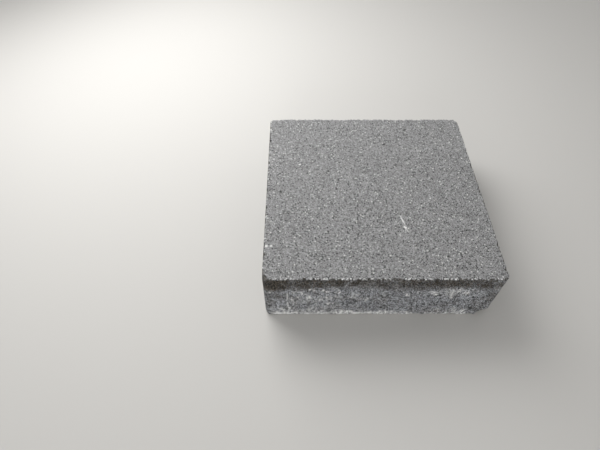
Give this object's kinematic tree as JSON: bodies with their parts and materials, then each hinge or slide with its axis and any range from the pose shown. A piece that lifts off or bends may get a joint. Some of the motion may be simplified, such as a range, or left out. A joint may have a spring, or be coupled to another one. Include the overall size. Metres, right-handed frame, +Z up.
{
  "type": "concrete paving stone",
  "caption": "Square pressed concrete paving stone with plain upright sides, rounded upright corners, unchamfered arrises and a broken lower corner.",
  "frame": {"origin": "middle of the underside, on the bed that the stone rests on", "axes": "+Z up to the walking face, +X to the right along the front side, +Y from the front side to the back; the broken corner is low at +X -Y"},
  "size_m": [0.2, 0.2, 0.06],
  "materials": {
    "concrete": "pressed anthracite grey concrete, fine sandy face, matt"
  },
  "bodies": {
    "root": {"paving_stone": "concrete"}
  },
  "joints": []
}
